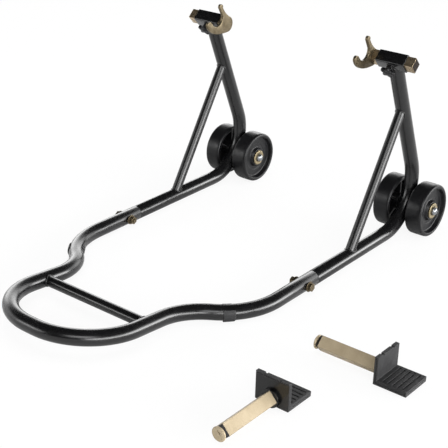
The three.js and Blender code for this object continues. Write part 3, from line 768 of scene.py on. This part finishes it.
def along_line(line, start_y, distance):
    """Point and tangent at a distance along a line from where it passes start_y."""
    points = [point for point, _ in line]
    index = next(i for i, point in enumerate(points) if point.y < start_y)
    share = (start_y - points[index].y) / (points[index - 1].y - points[index].y)
    here = points[index].lerp(points[index - 1], share)
    step = 1 if distance >= 0 else -1
    ahead = index if step > 0 else index - 1
    left = abs(distance)
    while (points[ahead] - here).length < left:
        left -= (points[ahead] - here).length
        here = points[ahead]
        ahead += step
    heading = (points[ahead] - here).normalized()
    return here + heading * left, heading * step


def foot_outline(ease):
    """A C-clip open at the top, with a flat sole, drawn anticlockwise."""
    outer, inner = MAIN_OD / 2 + FOOT_WALL - ease, MAIN_OD / 2 + GAP
    sole = math.degrees(math.acos((FOOT_SOLE_HALF - ease) / outer))
    left = arc((0, 0), outer, 142, 180 + sole, 22)
    right = arc((0, 0), outer, -sole, 38, 22)
    bore = arc((0, 0), inner, 38, -218, 60)
    edge, bottom = FOOT_SOLE_HALF - ease, ease - FOOT_SOLE
    return left + [(-edge, bottom), (edge, bottom)] + right + bore


def make_foot(side, sign):
    line = handle_line()
    layers = []
    half = FOOT_LENGTH / 2
    for share in (-1, -0.97, -0.9, -0.5, 0, 0.5, 0.9, 0.97, 1):
        ease = {0.97: 0.5, 1: 1.2}.get(abs(share), 0)
        point, tangent = along_line(line, FOOT_Y, share * half)
        across = tangent.cross(Z_AXIS).normalized()
        layer = [point + across * a + Z_AXIS * b for a, b in foot_outline(ease)]
        layers.append([Vector((sign * v.x, v.y, v.z)) for v in layer])
    foot = loft(f"{side}_foot_clip", layers, matrix=STAND)
    floor = Matrix(STAND).inverted()
    for vertex in foot.data.vertices:
        world = STAND @ vertex.co
        vertex.co = floor @ Vector((world.x, world.y, max(world.z, 0.05 * MM)))
    repair(foot)
    finish_piece(foot, f"{side}_rubber_foot")


# ---- Pad adapters --------------------------------------------------------------------

def make_post_weld(name, away, heading, turn):
    """The bead round the square post, which runs along away, where it leaves its collar."""
    lo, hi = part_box(f"{name}_pad_post")
    start = (lo + hi) / 2 - away * abs((hi - lo).dot(away)) / 2
    matrix = Matrix.Translation(start) @ Matrix.Rotation(heading, 4, "Z") @ Matrix.Rotation(turn, 4, "X")
    square_bead(f"{name}_collar_weld", POST_SIDE, COLLAR_FACE + 0.1, f"{name}_pad_collar", matrix)


# ---- CAD nodes that stay -------------------------------------------------------------

EDGES = {
    "axle_housing": 0.5, "axle_bolt": 0.4, "axle_washer": 0.5, "joint_bolt": 0.5, "joint_nut": 0.5,
    "clamp_boss": 0.6, "hook_bar": 0.9, "pad_bracket": 0.7, "pad_cover": 0.5, "pad_collar": 0.8,
    "pad_plug": 0.5, "pad_post": 0.8, "pad_button": 0.5,
}


def edge_of(node):
    return next((width for ending, width in EDGES.items() if node.endswith(ending)), 0.4)


def dress_node(node, obj):
    """Welds the facets, eases the edges and smooths what is round."""
    dress(obj, BAR_FINISH if node.endswith("hook_bar") else FINISHES[SLOT_OF[node]])
    if "custom_normal" in obj.data.attributes:
        obj.data.attributes.remove(obj.data.attributes["custom_normal"])
    obj.data.shade_smooth()
    weld = obj.modifiers.new("weld", "WELD")
    weld.merge_threshold = 0.01 * MM
    bevel = obj.modifiers.new("edges", "BEVEL")
    bevel.width = edge_of(node) * MM
    bevel.segments = 3
    bevel.limit_method = "ANGLE"
    bevel.angle_limit = math.radians(32)
    bevel.use_clamp_overlap = True
    normals = obj.modifiers.new("normals", "WEIGHTED_NORMAL")
    normals.weight = 60
    normals.keep_sharp = False


# ---- Stage ---------------------------------------------------------------------------

def make_floor():
    """White paper. The camera sees it mostly without shadows, and reflections see it as it is lit."""
    mesh = bpy.data.meshes.new("floor")
    reach = 30
    corners = [(-reach, -reach, 0), (reach, -reach, 0), (reach, reach, 0), (-reach, reach, 0)]
    mesh.from_pydata(corners, [], [(0, 1, 2, 3)])
    floor = bpy.data.objects.new("floor", mesh)
    bpy.context.scene.collection.objects.link(floor)
    floor.location.z = -0.0005
    s = Surface("floor")
    s.link("Base Color", rgba(0.9, 0.9, 0.9))
    s.link("Roughness", 0.9)
    s.link("Specular IOR Level", 0.1)
    seen = s.add("ShaderNodeLightPath").outputs["Is Camera Ray"]
    glow = s.add("ShaderNodeEmission", {"Color": rgba(1.02, 1.02, 1.02)}).outputs[0]
    inputs = {0: s.times(seen, 0.88), 1: s.shader.outputs[0], 2: glow}
    mixed = s.add("ShaderNodeMixShader", inputs).outputs[0]
    s.tree.links.new(mixed, s.tree.nodes["Material Output"].inputs["Surface"])
    dress(floor, s.material)


# The studio's light panels: azimuth, elevation, their half sizes, how softly the edges fade,
# all in degrees, and radiance. Azimuth 0 is toward -Y and 90 toward +X.
PANELS = (
    (95, 8, 48, 9, 8, 11.0),
    (40, 36, 22, 9, 8, 5.0),
    (180, 10, 75, 14, 10, 2.6),
    (-36, 16, 16, 7, 8, 4.0),
    (-90, 10, 60, 12, 10, 1.2),
)


def make_world():
    world = bpy.data.worlds.new("studio")
    bpy.context.scene.world = world
    world.use_nodes = True
    tree = world.node_tree

    def math_node(operation, *values):
        node = tree.nodes.new("ShaderNodeMath")
        node.operation = operation
        for slot, value in zip(node.inputs, values):
            if isinstance(value, bpy.types.NodeSocket):
                tree.links.new(value, slot)
            else:
                slot.default_value = value
        return node.outputs[0]

    def window(angle, middle, half, soft):
        away = math_node("ABSOLUTE", math_node("WRAP", math_node("SUBTRACT", angle, middle), 180, -180))
        node = tree.nodes.new("ShaderNodeMapRange")
        node.interpolation_type = "SMOOTHSTEP"
        tree.links.new(away, node.inputs["Value"])
        limits = {"From Min": half - soft / 2, "From Max": half + soft / 2, "To Min": 1, "To Max": 0}
        for key, value in limits.items():
            node.inputs[key].default_value = value
        return node.outputs["Result"]

    split = tree.nodes.new("ShaderNodeSeparateXYZ")
    tree.links.new(tree.nodes.new("ShaderNodeTexCoord").outputs["Generated"], split.inputs[0])
    x, y, z = split.outputs
    bearing = math_node("DEGREES", math_node("ARCTAN2", x, math_node("MULTIPLY", y, -1)))
    height = math_node("DEGREES", math_node("ARCSINE", z))
    total = 0.03
    for azimuth, elevation, wide, tall, soft, radiance in PANELS:
        across = window(bearing, azimuth, wide, 2 * soft)
        up = window(height, elevation, tall, soft)
        total = math_node("ADD", total, math_node("MULTIPLY", radiance, math_node("MULTIPLY", across, up)))
    background = tree.nodes["Background"]
    background.inputs["Color"].default_value = rgba(1, 1, 1)
    tree.links.new(total, background.inputs["Strength"])


def overhead_light():
    """Fills the floor and the diffuse shading without showing in the paint."""
    data = bpy.data.lights.new("overhead", "AREA")
    data.shape = "SQUARE"
    data.size = 3
    data.energy = 40
    lamp = bpy.data.objects.new("overhead", data)
    bpy.context.scene.collection.objects.link(lamp)
    lamp.location = (0, 0, 3)
    lamp.visible_glossy = False


# The camera's place in metres, the direction from the object back to it, and its roll
CAMERA_PLACE = (1.1489, -1.5570, 0.9966)
CAMERA_BACK = Vector((0.5654, -0.7136, 0.4135)).normalized()
CAMERA_ROLL = math.radians(1.498)
CAMERA_LENS = 89.747


def make_camera():
    data = bpy.data.cameras.new("camera")
    data.sensor_width = 36
    data.lens = CAMERA_LENS
    camera = bpy.data.objects.new("camera", data)
    bpy.context.scene.collection.objects.link(camera)
    right = Z_AXIS.cross(CAMERA_BACK).normalized()
    up = CAMERA_BACK.cross(right)
    roll = Quaternion(CAMERA_BACK, CAMERA_ROLL)
    right, up = roll @ right, roll @ up
    rotation = Matrix((right, up, CAMERA_BACK)).transposed().to_4x4()
    camera.matrix_world = Matrix.Translation(CAMERA_PLACE) @ rotation
    bpy.context.scene.camera = camera


# ---- Assembly ------------------------------------------------------------------------

make_handle()
WHEEL_MESH = wheel_mesh()
for side_name, side_sign in SIDES:
    make_arm(side_name, side_sign)
    make_hook(side_name, side_sign)
    make_foot(side_name, side_sign)
    for place_name, place_sign in PLACES:
        make_wheel(side_name, place_name, side_sign * place_sign, WHEEL_MESH)
make_post_weld("front", -Y_AXIS, -math.pi / 2, SOCKET_TURN)
make_post_weld("rear", -X_AXIS, -math.pi, -SOCKET_TURN)
for node_name, node_object in frame["nodes"].items():
    dress_node(node_name, node_object)

make_floor()
make_world()
overhead_light()
make_camera()
bpy.context.scene.view_settings.view_transform = "Standard"
